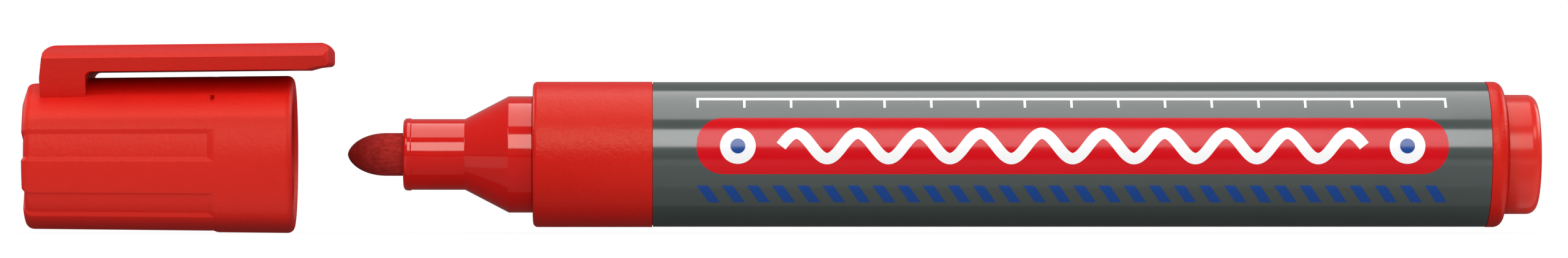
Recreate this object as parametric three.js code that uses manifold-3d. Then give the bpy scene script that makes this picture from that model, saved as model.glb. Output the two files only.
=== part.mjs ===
// Whiteboard marker with its cap pulled off and lying in line with the nib. Millimetres, +Z up.
// The origin is the centre of the flat rear face, the nib points along -X and the clip is on top.
// Every piece is drawn along a station axis that starts at the rear face, or at the cap's mouth for
// the cap's pieces, and runs towards the nib. One turned group lays that axis along -X.

import * as THREE from 'three';
import { mergeVertices } from 'three/addons/utils/BufferGeometryUtils.js';
import Module from 'manifold-3d';

const wasm = await Module();
wasm.setup();

// Barrel: one tube, bare at the grip and at the rear ring, sunk between them for the label
const barrelLength = 104.0;
const barrelDiameter = 15.6;
const barrelWall = 1.7;
const gripLength = 12.8;
const rearRingLength = 1.8;
const barrelFrontRound = 0.5;
const barrelRearRound = 1.0;
const barrelLipLength = 3.0;
const barrelLipHeight = 0.4;
const barrelLipRamp = 0.5;

// Label: printed film, its ends meeting in a narrow seam at the back
const labelThickness = 0.15;
const labelSink = 0.03;
const labelFit = 0.02;
const labelEndFit = 0.06;
const labelSeam = 0.3;

// End plug: solid-faced cup pressed into the barrel's rear
const plugHeight = 3.7;
const plugDiameter = 12.8;
const plugRound = 1.1;
const plugFootRound = 0.2;
const plugFace = 1.6;
const plugSpigotLength = 6.0;
const plugSpigotChamfer = 0.5;
const plugSpigotWall = 1.1;

// Front section: neck, cone and collar in front of the barrel, spigot inside it
const collarDiameter = 12.5;
const collarLength = 2.6;
const coneLength = 4.7;
const neckDiameter = 7.6;
const neckLength = 6.6;
const neckRound = 0.45;
const neckLipLength = 0.8;
const neckLipHeight = 0.08;
const spigotLength = 14.0;
const spigotWall = 1.1;
const spigotBeadHeight = 0.35;
const spigotBeadLength = 1.2;
const spigotChamfer = 0.5;
const nibTubeLength = 11.0;
const nibRibWidth = 0.8;
const nibRibLength = 9.0;
const nibRibCount = 4;

// Nib: a rod with a pointed arch for its tip and a thinner shank that feeds from the reservoir
const nibDiameter = 4.6;
const nibExposed = 6.0;
const nibTipLength = 4.2;
const nibTipFlat = 0.35;
const nibShankDiameter = 3.6;
const nibShankLength = 16.0;
const nibShoulder = 0.8;
const nibInReservoir = 9.0;

// Reservoir: fibre filler in a thin sleeve
const filmThickness = 0.15;

// Cap moulding: a slightly tapered cup, plain at the mouth, with recessed grip panels behind
const capLength = 28.8;
const capMouthDiameter = 16.88;
const capEndDiameter = 16.3;
const capEndWall = 1.4;
const capMouthRound = 0.45;
const capEndRound = 1.0;
const capInnerRound = 0.8;
const capLeadIn = 0.35;
const capMouthBand = 8.3;
const panelCount = 5;
const panelPitch = 48.5;
const panelAngle = 24;
const panelDepth = 0.27;
const panelSideRamp = 0.42;
const panelEndRamp = 0.7;
const panelOnEndFace = 0.3;

// Small moulded mark beside the clip, where the mouth band starts
const markAngle = 43.75;
const markWidth = 0.95;
const markLength = 0.55;
const markDepth = 0.2;

// Clip: a broad thick strip as wide as the cap, crowned on top, its flanks leaning in to the cap
const clipWidth = 16.8;
const clipGap = 0.62;
const clipThickness = 2.9;
const clipCrownDrop = 0.97;
const clipEdgeWidth = 0.5;
const clipEdgeDrop = 0.53;
const clipFlankLean = 35;
const clipOverhang = 4.0;
const clipRootLength = 4.9;
const clipRootInset = 1.9;
const clipRootLean = 0.4;
const clipRootCorner = 1.1;
const clipTipCorner = 1.2;
const clipTipFoot = 0.5;
const clipSlotRound = 0.65;
const clipNoseLength = 2.5;
const clipNoseRamp = 1.1;
const clipNoseLift = 0.3;
const clipNoseRise = 0.1;
const clipSeatDrop = 0.55;

// Liner: inner cap that closes round the neck, its partition set back from the nib's tip by a
// share of the room behind it
const linerWall = 1.1;
const linerFlange = 1.2;
const linerPartition = 1.2;
const linerRoomShare = 0.32;
const linerMouthRound = 0.4;

// Clearances
const seatGap = 0.05;
const pressFit = 0.15;
const slideFit = 0.2;
const softFit = 0.2;
const capFit = 0.3;
const capSeatGap = 0.3;
const coneRoom = 0.5;

// How far the cap lies from its seat
const capLift = 25.6;

// Faceting
const outerSegments = 64;
const innerSegments = 40;
const crownSteps = 12;
const roundSteps = 4;
const smallRoundSteps = 3;
const facetAngle = 6.2;
const overrun = 1.0;

// Stations along the marker, from the rear face towards the nib
const barrelRear = plugHeight;
const labelRear = barrelRear + rearRingLength;
const barrelFront = barrelRear + barrelLength;
const labelFront = barrelFront - gripLength;
const coneRear = barrelFront + collarLength;
const coneFront = coneRear + coneLength;
const neckFront = coneFront + neckLength;
const nibFront = neckFront + nibExposed;
const spigotRear = barrelFront - spigotLength;
const plugInner = barrelRear + plugSpigotLength;
const capMouth = barrelFront + capLift;

// Radii that several pieces share
const barrelRadius = barrelDiameter / 2;
const boreRadius = barrelRadius - barrelWall;
const lipRadius = boreRadius - barrelLipHeight;
const labelRadius = barrelRadius - labelSink;
const collarRadius = collarDiameter / 2;
const neckRadius = neckDiameter / 2;
const nibRadius = nibDiameter / 2;
const nibShankRadius = nibShankDiameter / 2;
const capBoreRadius = collarRadius + capFit;
const capMouthRadius = capMouthDiameter / 2;
const capEndRadius = capEndDiameter / 2;
const capRadiusAt = (station) =>
  THREE.MathUtils.mapLinear(station, 0, capLength, capMouthRadius, capEndRadius);

const radians = THREE.MathUtils.degToRad;

/** Points of an arc in a profile, as [radius, station] pairs. */
function arc(size, centreRadius, centreStation, fromDegrees, toDegrees, steps) {
  return Array.from({ length: steps + 1 }, (_, i) => {
    const angle = radians(fromDegrees + (toDegrees - fromDegrees) * i / steps);
    return [centreRadius + size * Math.cos(angle), centreStation + size * Math.sin(angle)];
  });
}

/** Turns a closed geometry into a solid that can be cut and joined. */
function toSolid(geometry) {
  geometry.deleteAttribute('normal');
  geometry.deleteAttribute('uv');
  const merged = mergeVertices(geometry);
  const index = merged.index.array;
  const triangles = [];
  for (let i = 0; i < index.length; i += 3) {
    const [a, b, c] = [index[i], index[i + 1], index[i + 2]];
    if (a !== b && b !== c && c !== a) triangles.push(a, b, c);
  }
  return new wasm.Manifold(new wasm.Mesh({
    numProp: 3,
    vertProperties: new Float32Array(merged.attributes.position.array),
    triVerts: new Uint32Array(triangles),
  }));
}

/** Turns a solid back into a geometry for display. */
function toGeometry(solid) {
  const mesh = solid.getMesh();
  const geometry = new THREE.BufferGeometry();
  geometry.setAttribute('position', new THREE.BufferAttribute(mesh.vertProperties, 3));
  geometry.setIndex(new THREE.BufferAttribute(mesh.triVerts, 1));
  const faceted = geometry.toNonIndexed();
  faceted.computeVertexNormals();
  return faceted;
}

/** Solid of revolution from [radius, station] points, outer wall drawn towards the nib. */
function revolve(points, segments) {
  return toSolid(new THREE.LatheGeometry(points.map(([r, y]) => new THREE.Vector2(r, y)), segments));
}

/** A revolved ring: the profile is closed on itself. */
const revolveRing = (points, segments) => revolve([...points, points[0]], segments);

/** Solid of one width from a side outline of [station, height] points, centred on the clip's plane. */
function extrudeSide(outline, width) {
  const shape = new THREE.Shape(outline.map(([y, z]) => new THREE.Vector2(y, z)));
  const geometry = new THREE.ExtrudeGeometry(shape, { depth: width, bevelEnabled: false });
  geometry.translate(0, 0, -width / 2);
  geometry.applyMatrix4(new THREE.Matrix4().makeBasis(
    new THREE.Vector3(0, 1, 0), new THREE.Vector3(0, 0, 1), new THREE.Vector3(1, 0, 0),
  ));
  return toSolid(geometry);
}

/** Box at an angle round the axis, counted from the clip's plane towards the side that faces -Y. */
function boxAtAngle(size, station, radius, degrees) {
  const geometry = new THREE.BoxGeometry(size.width, size.length, size.height);
  geometry.translate(0, station, radius);
  geometry.rotateY(-radians(degrees));
  return toSolid(geometry);
}

/** Barrel: outer wall sunk for the label, bore with a narrower lip that holds the front section. */
function barrelSolid() {
  const floor = labelRadius - labelThickness - labelFit;
  return revolveRing([
    [boreRadius, barrelRear],
    ...arc(barrelRearRound, barrelRadius - barrelRearRound, barrelRear + barrelRearRound,
      -90, 0, roundSteps),
    [barrelRadius, labelRear],
    [floor, labelRear],
    [floor, labelFront],
    [barrelRadius, labelFront],
    ...arc(barrelFrontRound, barrelRadius - barrelFrontRound, barrelFront - barrelFrontRound,
      0, 90, smallRoundSteps),
    [lipRadius, barrelFront],
    [lipRadius, barrelFront - barrelLipLength],
    [boreRadius, barrelFront - barrelLipLength - barrelLipRamp],
  ], outerSegments);
}

/** Label: thin sleeve in the barrel's recess, open along the seam at the back. */
function labelSolid() {
  const inner = labelRadius - labelThickness;
  const rear = labelRear + labelEndFit;
  const front = labelFront - labelEndFit;
  const sleeve = revolveRing([
    [inner, rear], [labelRadius, rear], [labelRadius, front], [inner, front],
  ], outerSegments);
  const seam = new THREE.BoxGeometry(barrelRadius, barrelLength, labelSeam);
  seam.translate(barrelRadius, (rear + front) / 2, 0);
  return sleeve.subtract(toSolid(seam));
}

/** End plug: rounded head outside, hollow spigot inside the bore. */
function plugSolid() {
  const head = plugDiameter / 2;
  const headFront = barrelRear - seatGap;
  const spigot = boreRadius - pressFit;
  return revolve([
    [0, 0],
    ...arc(plugRound, head - plugRound, plugRound, -90, 0, roundSteps),
    [head, headFront - plugFootRound],
    [head - plugFootRound, headFront],
    [spigot, headFront],
    [spigot, plugInner - plugSpigotChamfer],
    [spigot - plugSpigotChamfer, plugInner],
    [spigot - plugSpigotWall, plugInner],
    [spigot - plugSpigotWall, plugFace],
    [0, plugFace],
  ], outerSegments);
}

/** Front section: neck, cone, collar and snap-in spigot, hollow, with ribs that hold the nib. */
function frontSectionSolid() {
  const shoulder = barrelFront + seatGap;
  const spigot = lipRadius - pressFit;
  const bead = spigot + spigotBeadHeight;
  const beadFront = barrelFront - barrelLipLength - barrelLipRamp - seatGap;
  const beadRear = beadFront - spigotBeadLength;
  const nibBore = nibRadius + slideFit;
  const hollow = spigot - spigotWall;
  const tubeRear = neckFront - nibTubeLength;
  const hollowFront = tubeRear - (hollow - nibBore);
  const skin = revolveRing([
    [hollow, spigotRear],
    [spigot - spigotChamfer, spigotRear],
    [spigot, spigotRear + spigotChamfer],
    [spigot, beadRear],
    [bead, beadRear + spigotBeadHeight],
    [bead, beadFront - spigotBeadHeight],
    [spigot, beadFront],
    [spigot, shoulder],
    [collarRadius, shoulder],
    [collarRadius, coneRear],
    [neckRadius, coneFront],
    [neckRadius, neckFront - neckLipLength],
    [neckRadius + neckLipHeight, neckFront - neckLipLength],
    ...arc(neckRound, neckRadius + neckLipHeight - neckRound, neckFront - neckRound,
      0, 90, smallRoundSteps),
    [nibBore, neckFront],
    [nibBore, tubeRear],
    [hollow, hollowFront],
  ], outerSegments);
  const ribDepth = hollow - nibRadius - slideFit + spigotWall / 2;
  return Array.from({ length: nibRibCount }, (_, i) => boxAtAngle(
    { width: nibRibWidth, length: nibRibLength, height: ribDepth },
    tubeRear - nibRibLength / 2,
    nibRadius + slideFit + ribDepth / 2,
    360 * i / nibRibCount,
  )).reduce((body, rib) => body.add(rib), skin);
}

/** Nib: pointed arch in front, rod through the neck, thinner shank in the reservoir. */
function nibSolid() {
  const rise = nibRadius - nibTipFlat;
  const archRadius = (nibTipLength ** 2 + rise ** 2) / (2 * rise);
  const archSteps = 2 * roundSteps;
  const arch = Array.from({ length: archSteps + 1 }, (_, i) => {
    const back = nibTipLength * (1 - (i / archSteps)) ** 2;
    const along = nibTipLength - back;
    const radius = nibRadius - archRadius + Math.sqrt(archRadius ** 2 - along ** 2);
    return [radius, nibFront - back];
  });
  const rear = spigotRear - seatGap - nibInReservoir;
  const shankFront = rear + nibShankLength;
  return revolve([
    [0, rear],
    [nibShankRadius - nibShoulder, rear],
    [nibShankRadius, rear + nibShoulder],
    [nibShankRadius, shankFront],
    [nibRadius, shankFront + nibShoulder],
    ...arch,
    [0, nibFront],
  ], innerSegments);
}

/** Reservoir filler: fibre rod with a blind hole for the nib's shank. */
function reservoirCoreSolid() {
  const radius = boreRadius - softFit - filmThickness - seatGap;
  const hole = nibShankRadius + slideFit;
  const rear = plugInner + softFit;
  const front = spigotRear - softFit;
  const holeRear = spigotRear - seatGap - nibInReservoir - softFit;
  return revolve([
    [0, rear],
    [radius, rear],
    [radius, front],
    [hole, front],
    [hole, holeRear],
    [0, holeRear],
  ], innerSegments);
}

/** Reservoir sleeve: thin tube round the filler, open at both ends. */
function reservoirFilmSolid() {
  const outer = boreRadius - softFit;
  const inner = outer - filmThickness;
  const rear = plugInner + softFit;
  const front = spigotRear - softFit;
  return revolveRing([[inner, rear], [outer, rear], [outer, front], [inner, front]], innerSegments);
}

/** Centre angles of the cap's grip panels, spread evenly about the side away from the clip. */
const panelCentres = Array.from({ length: panelCount },
  (_, i) => 180 + panelPitch * (i - (panelCount - 1) / 2));

/** Angles of the cap's ribs of points, each with its share of the panel depth. */
function capAngles() {
  const sideAngle = THREE.MathUtils.radToDeg(panelSideRamp / capMouthRadius);
  const edges = panelCentres.flatMap((centre) => [
    [centre - panelAngle / 2, 0],
    [centre - panelAngle / 2 + sideAngle, 1],
    [centre + panelAngle / 2 - sideAngle, 1],
    [centre + panelAngle / 2, 0],
  ]);
  return edges.flatMap(([angle, share], i) => {
    const wraps = i === edges.length - 1;
    const [nextAngle, nextShare] = wraps ? [edges[0][0] + 360, edges[0][1]] : edges[i + 1];
    const steps = share === nextShare ? Math.ceil((nextAngle - angle) / facetAngle) : 1;
    return Array.from({ length: steps }, (_, k) => ({
      angle: angle + (nextAngle - angle) * k / steps,
      share,
    }));
  });
}

/** The cap's profile: each point with its outward direction and its share of the panel depth. */
function capProfile() {
  const innerEnd = capLength - capEndWall;
  const endCentre = capEndRadius - capEndRound;
  const plain = ([radius, station]) => ({ radius, station, out: [0, 0], share: 0 });
  const inside = [
    [0, innerEnd],
    ...arc(capInnerRound, capBoreRadius - capInnerRound, innerEnd - capInnerRound,
      90, 0, smallRoundSteps),
    [capBoreRadius, capLeadIn],
    [capBoreRadius + capLeadIn, 0],
    ...arc(capMouthRound, capMouthRadius - capMouthRound, capMouthRound, -90, 0, smallRoundSteps),
    [capRadiusAt(capMouthBand), capMouthBand],
  ];
  const panelStart = capMouthBand + panelEndRamp;
  const endArc = arc(capEndRound, endCentre, capLength - capEndRound, 0, 90, roundSteps);
  return [
    ...inside.map(plain),
    { radius: capRadiusAt(panelStart), station: panelStart, out: [1, 0], share: 1 },
    ...endArc.map(([radius, station]) => ({
      radius,
      station,
      out: [(radius - endCentre) / capEndRound, (station - capLength + capEndRound) / capEndRound],
      share: 1,
    })),
    plain([endCentre - panelOnEndFace, capLength]),
    plain([0, capLength]),
  ];
}

/** Cap cup: the profile carried round the axis, sunk by the panel depth where both shares say so. */
function capCupSolid() {
  const profile = capProfile();
  const angles = capAngles();
  const positions = angles.flatMap(({ angle, share: angleShare }) => profile.flatMap((point) => {
    const sink = panelDepth * angleShare * point.share;
    const radius = point.radius - point.out[0] * sink;
    const station = point.station - point.out[1] * sink;
    return [-radius * Math.sin(radians(angle)), station, radius * Math.cos(radians(angle))];
  }));
  const rows = profile.length;
  const index = angles.flatMap((_, i) => Array.from({ length: rows - 1 }, (__, j) => {
    const [a, b] = [i * rows + j, ((i + 1) % angles.length) * rows + j];
    return [a, a + 1, b, b, a + 1, b + 1];
  }).flat());
  const geometry = new THREE.BufferGeometry();
  geometry.setAttribute('position', new THREE.BufferAttribute(new Float32Array(positions), 3));
  geometry.setIndex(index);
  return toSolid(geometry);
}

/** Seat beside the clip's root: the cap's end edge is flattened there and rounded over. */
function clipSeatSolid() {
  const top = capEndRadius - clipSeatDrop;
  const rootEnd = capLength - clipRootInset;
  return extrudeSide([
    [rootEnd - clipRootLean, top],
    ...arc(capEndRound, capLength - capEndRound, top - capEndRound, 90, 0, roundSteps),
    [capLength + overrun, top - capEndRound],
    [capLength + overrun, capEndRadius + overrun],
    [rootEnd - clipRootLean, capEndRadius + overrun],
  ], 2 * capEndRadius);
}

/** Height at which the clip's flank, carried down, reaches a radius about the cap's axis. */
function flankHeightAt(radius) {
  const lean = Math.tan(radians(clipFlankLean));
  const crease = capEndRadius + clipGap + clipThickness - clipCrownDrop - clipEdgeDrop;
  const reach = clipWidth / 2 - lean * crease;
  const square = 1 + lean ** 2;
  return (Math.sqrt((lean * reach) ** 2 - square * (reach ** 2 - radius ** 2)) - lean * reach)
    / square;
}

/** Clip's section carried along the cap, rising with the cap's taper: crown, edges and flanks. */
function clipSectionSolid(foot) {
  const crest = capEndRadius + clipGap + clipThickness;
  const crease = crest - clipCrownDrop - clipEdgeDrop;
  const halfCrown = clipWidth / 2 - clipEdgeWidth;
  const crownRadius = (halfCrown ** 2 + clipCrownDrop ** 2) / (2 * clipCrownDrop);
  const crownAngle = THREE.MathUtils.radToDeg(Math.asin(halfCrown / crownRadius));
  const footHalf = clipWidth / 2 - Math.tan(radians(clipFlankLean)) * (crease - foot);
  const shape = new THREE.Shape([
    [footHalf, foot],
    [clipWidth / 2, crease],
    ...arc(crownRadius, 0, crest - crownRadius, 90 - crownAngle, 90 + crownAngle, crownSteps),
    [-clipWidth / 2, crease],
    [-footHalf, foot],
  ].map(([across, height]) => new THREE.Vector2(across, height)));
  const length = clipOverhang + capLength + 2 * overrun;
  const geometry = new THREE.ExtrudeGeometry(shape, { depth: length, bevelEnabled: false });
  const rise = (capMouthRadius - capEndRadius) / capLength;
  geometry.applyMatrix4(new THREE.Matrix4().set(
    1, 0, 0, 0,
    0, 0, -1, capLength + overrun,
    0, 1, rise, -rise * overrun,
    0, 0, 0, 1,
  ));
  return toSolid(geometry);
}

/** Clip: side outline cut to the clip's section, its foot in the cap's wall. */
function clipSolid() {
  const under = (station) => capRadiusAt(Math.max(station, 0)) + clipGap;
  const top = (station) => capRadiusAt(station) + clipGap + clipThickness;
  const wallMiddle = (capBoreRadius + capEndRadius) / 2;
  const foot = flankHeightAt(wallMiddle);
  const rootEnd = capLength - clipRootInset;
  const rootTop = rootEnd - clipRootLean;
  const slotEnd = rootEnd - clipRootLength;
  const noseStart = clipNoseLength - clipOverhang;
  const noseFlat = noseStart - clipNoseRamp;
  const noseUnder = under(0) + clipNoseLift;
  const tipUnder = noseUnder + clipNoseRise;
  const tipTop = top(-clipOverhang + clipTipCorner);
  const outline = [
    [rootEnd, foot - overrun],
    [rootEnd, capEndRadius],
    [rootTop, top(rootTop) - clipRootCorner],
    ...arc(clipRootCorner, rootTop - clipRootCorner, top(rootTop) - clipRootCorner,
      0, 90, roundSteps).slice(1),
    [rootTop - clipRootCorner, top(0) + overrun],
    [clipTipCorner - clipOverhang, top(0) + overrun],
    ...arc(clipTipCorner, clipTipCorner - clipOverhang, tipTop - clipTipCorner, 90, 180, roundSteps),
    ...arc(clipTipFoot, clipTipFoot - clipOverhang, tipUnder + clipTipFoot,
      180, 270, smallRoundSteps),
    [noseFlat, noseUnder],
    [noseStart, under(0)],
    [0, under(0)],
    ...arc(clipSlotRound, slotEnd - clipSlotRound, under(slotEnd) - clipSlotRound,
      90, 0, smallRoundSteps),
    [slotEnd, foot - overrun],
  ];
  const core = revolve([
    [0, -overrun],
    [wallMiddle, -overrun],
    [wallMiddle, capLength + overrun],
    [0, capLength + overrun],
  ], outerSegments);
  return extrudeSide(outline, clipWidth + 2 * overrun).intersect(clipSectionSolid(foot)).subtract(core);
}

/** Cap moulding: cup with grip panels, seat, clip and moulded mark. */
function capShellSolid() {
  const mark = boxAtAngle(
    { width: markWidth, length: markLength, height: 2 * markDepth },
    capMouthBand + markLength / 2, capRadiusAt(capMouthBand), markAngle,
  );
  return capCupSolid().subtract(clipSeatSolid()).add(clipSolid()).subtract(mark);
}

/** Liner: flange and sleeve round the neck, closed by a partition past the nib. */
function linerSolid() {
  const front = capSeatGap + collarLength + coneLength + coneRoom;
  const rear = capLength - capEndWall - softFit;
  const nibTip = capSeatGap + collarLength + coneLength + neckLength + nibExposed;
  const partitionFront = nibTip + linerRoomShare * (rear - nibTip);
  const partitionRear = partitionFront + linerPartition;
  const bore = neckRadius + neckLipHeight + slideFit;
  const outer = bore + linerWall;
  const rearOuter = Math.min(outer, capBoreRadius - capInnerRound);
  return revolve([
    [0, partitionFront],
    [bore, partitionFront],
    [bore, front + linerMouthRound],
    [bore + linerMouthRound, front],
    [capBoreRadius - pressFit, front],
    [capBoreRadius - pressFit, front + linerFlange],
    [outer, front + linerFlange],
    [rearOuter, partitionRear],
    [rearOuter, rear],
    [rearOuter - linerWall, rear],
    [rearOuter - linerWall, partitionRear],
    [0, partitionRear],
  ], innerSegments);
}

const materials = {
  mattePlastic: new THREE.MeshStandardMaterial({ color: 0xd2261c, roughness: 0.6, metalness: 0 }),
  glossPlastic: new THREE.MeshStandardMaterial({ color: 0xcf2018, roughness: 0.2, metalness: 0 }),
  greyFilm: new THREE.MeshStandardMaterial({ color: 0x5a615f, roughness: 0.3, metalness: 0 }),
  nibFibre: new THREE.MeshStandardMaterial({ color: 0x8e1c1e, roughness: 0.9, metalness: 0 }),
  inkFibre: new THREE.MeshStandardMaterial({ color: 0xa82424, roughness: 1.0, metalness: 0 }),
  clearFilm: new THREE.MeshStandardMaterial({ color: 0xe8e8e4, roughness: 0.3, metalness: 0 }),
  linerPlastic: new THREE.MeshStandardMaterial({ color: 0xe9e7e0, roughness: 0.5, metalness: 0 }),
};

/** A named piece of the marker. */
function piece(name, solid, material) {
  const mesh = new THREE.Mesh(toGeometry(solid), material);
  mesh.name = name;
  return mesh;
}

const pen = new THREE.Group();
pen.add(
  piece('barrel', barrelSolid(), materials.mattePlastic),
  piece('label', labelSolid(), materials.greyFilm),
  piece('end_plug', plugSolid(), materials.glossPlastic),
  piece('front_section', frontSectionSolid(), materials.glossPlastic),
  piece('nib', nibSolid(), materials.nibFibre),
  piece('reservoir_core', reservoirCoreSolid(), materials.inkFibre),
  piece('reservoir_film', reservoirFilmSolid(), materials.clearFilm),
);

const cap = new THREE.Group();
cap.add(
  piece('cap_shell', capShellSolid(), materials.mattePlastic),
  piece('cap_liner', linerSolid(), materials.linerPlastic),
);
cap.position.y = capMouth;

const marker = new THREE.Group();
marker.add(pen, cap);
marker.rotation.z = Math.PI / 2;

export default marker;
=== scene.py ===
"""Whiteboard marker lying beside its own cap: smooth pieces, finishes, studio and camera.

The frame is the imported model's, in metres. The origin is the centre of the plug's rear face, the nib
points along -X and the clip is on top. The pieces' sizes are written in millimetres and the studio's in
metres. A station is the distance from the rear face, so a station s lies at x = -s.
"""

import logging
import math
from dataclasses import dataclass, replace
from enum import Enum, IntEnum
from typing import Callable, ClassVar, Optional, Sequence, Union

import bmesh
import bpy
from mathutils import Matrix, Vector


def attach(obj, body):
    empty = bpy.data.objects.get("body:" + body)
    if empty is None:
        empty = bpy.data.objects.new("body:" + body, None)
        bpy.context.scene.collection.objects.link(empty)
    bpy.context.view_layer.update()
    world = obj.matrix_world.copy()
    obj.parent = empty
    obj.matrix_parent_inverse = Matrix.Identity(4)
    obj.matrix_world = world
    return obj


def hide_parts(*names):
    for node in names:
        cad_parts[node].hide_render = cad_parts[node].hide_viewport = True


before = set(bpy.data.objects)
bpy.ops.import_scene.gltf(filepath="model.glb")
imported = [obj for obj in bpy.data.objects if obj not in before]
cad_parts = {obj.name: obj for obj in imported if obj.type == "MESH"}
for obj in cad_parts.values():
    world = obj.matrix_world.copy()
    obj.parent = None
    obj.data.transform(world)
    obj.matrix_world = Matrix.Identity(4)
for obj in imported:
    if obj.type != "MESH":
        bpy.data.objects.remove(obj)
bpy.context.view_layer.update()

LOG = logging.getLogger("marker")
MM = 0.001
NEAR = 0.004 * MM
SAME_PLACE = 0.0004 * MM
ORIGIN = (0.0, 0.0, 0.0)
X_AXIS = (1.0, 0.0, 0.0)
ALONG_X = (0.0, math.radians(90), 0.0)
SHARP_OVER = 38.0
NOISE_MIDDLE = (0.3, 0.7)
NO_TINT = (1.0, 1.0, 1.0)

Point = tuple[float, float]
Place = tuple[float, float, float]
Colour = tuple[float, float, float]
Feed = Union[float, Sequence[float], bpy.types.NodeSocket]


class Body(Enum):
    """The two bodies that the slide joint moves against each other."""

    MARKER = "marker"
    CAP = "cap"


class Cut(Enum):
    """What a Boolean modifier does with its tool."""

    JOIN = "UNION"
    REMOVE = "DIFFERENCE"
    KEEP_SHARED = "INTERSECT"


class Pick(Enum):
    """What is picked out in edit mode."""

    VERTS = "VERT"
    EDGES = "EDGE"


class Steps(IntEnum):
    """Number of steps in a rounding, by how much of it shows."""

    HAIRLINE = 2
    SMALL = 3
    SHORT = 5
    CORNER = 6
    BROAD = 8
    HEAD = 10


def x_at(station: float) -> float:
    """Place along X in metres of a station in millimetres."""
    return -station * MM


def start_clean() -> None:
    """Leaves edit mode and deselects every object."""
    if bpy.context.object and bpy.context.object.mode != "OBJECT":
        bpy.ops.object.mode_set(mode="OBJECT")
    bpy.ops.object.select_all(action="DESELECT")


def make_active(piece: bpy.types.Object) -> None:
    """Makes one object the only selected and the active one.

    Args:
        piece: The object to work on.
    """
    start_clean()
    piece.select_set(True)
    bpy.context.view_layer.objects.active = piece


def edit_all() -> None:
    """Enters edit mode with all of the active mesh selected."""
    bpy.ops.object.mode_set(mode="EDIT")
    bpy.ops.mesh.select_mode(type="VERT")
    bpy.ops.mesh.select_all(action="SELECT")


def settle(name: str) -> bpy.types.Object:
    """Names the object that a primitive has just added and moves its place into its mesh.

    Args:
        name: The name of the piece.

    Returns:
        The object, at the origin and unturned.
    """
    piece = bpy.context.object
    piece.name = name
    piece.data.name = name
    bpy.ops.object.transform_apply(location=True, rotation=True, scale=True)
    return piece


def select(piece: bpy.types.Object, pick: Pick, test: Callable[[Vector], bool]) -> None:
    """Selects, in edit mode, the vertices that pass a test or the edges whose two ends pass it.

    Args:
        piece: The object that is being edited.
        pick: Whether vertices or edges are selected.
        test: Takes a vertex's place and says whether it is wanted.
    """
    bpy.ops.mesh.select_mode(type=pick.value)
    bpy.ops.mesh.select_all(action="DESELECT")
    mesh = bmesh.from_edit_mesh(piece.data)
    if pick is Pick.VERTS:
        wanted = [vert for vert in mesh.verts if test(vert.co)]
    else:
        wanted = [edge for edge in mesh.edges if all(test(vert.co) for vert in edge.verts)]
    for element in wanted:
        element.select = True
    mesh.select_flush_mode()
    bmesh.update_edit_mesh(piece.data)


def extrude(by: Sequence[float]) -> None:
    """Extrudes what is selected in edit mode by a distance in metres."""
    bpy.ops.mesh.extrude_region_move(TRANSFORM_OT_translate={"value": by})


def turn_about_axis(angle: float) -> None:
    """Turns what is selected in edit mode about the marker's axis, by an angle in radians."""
    bpy.ops.transform.rotate(value=angle, orient_axis="X", center_override=ORIGIN)


def apply_modifier(piece: bpy.types.Object, kind: str, **settings: object) -> None:
    """Adds a modifier to a piece and applies it.

    Args:
        piece: The object to change.
        kind: Blender's name of the modifier type.
        settings: Values set on the modifier before it is applied.
    """
    make_active(piece)
    modifier = piece.modifiers.new(kind.lower(), kind)
    for name, value in settings.items():
        setattr(modifier, name, value)
    bpy.ops.object.modifier_apply(modifier=modifier.name)


def combine(piece: bpy.types.Object, tool: bpy.types.Object, cut: Cut) -> None:
    """Joins a tool to a piece, cuts it out of the piece, or keeps only what both share.

    Args:
        piece: The object to change.
        tool: The object that is joined or cut, and then deleted.
        cut: What is done with the tool.
    """
    apply_modifier(piece, "BOOLEAN", object=tool, operation=cut.value, solver="EXACT")
    bpy.data.objects.remove(tool, do_unlink=True)


def smooth(piece: bpy.types.Object, sharp_over: float = SHARP_OVER) -> bpy.types.Object:
    """Closes a piece's seams, points its faces outwards and shades it smooth up to an angle.

    Args:
        piece: The object to finish.
        sharp_over: Angle in degrees above which an edge stays sharp.

    Returns:
        The finished object.
    """
    make_active(piece)
    edit_all()
    bpy.ops.mesh.remove_doubles(threshold=SAME_PLACE)
    bpy.ops.mesh.normals_make_consistent(inside=False)
    bpy.ops.object.mode_set(mode="OBJECT")
    bpy.ops.object.shade_smooth_by_angle(angle=math.radians(sharp_over))
    apply_modifier(piece, "WEIGHTED_NORMAL", keep_sharp=True, weight=50)
    return piece


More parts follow.
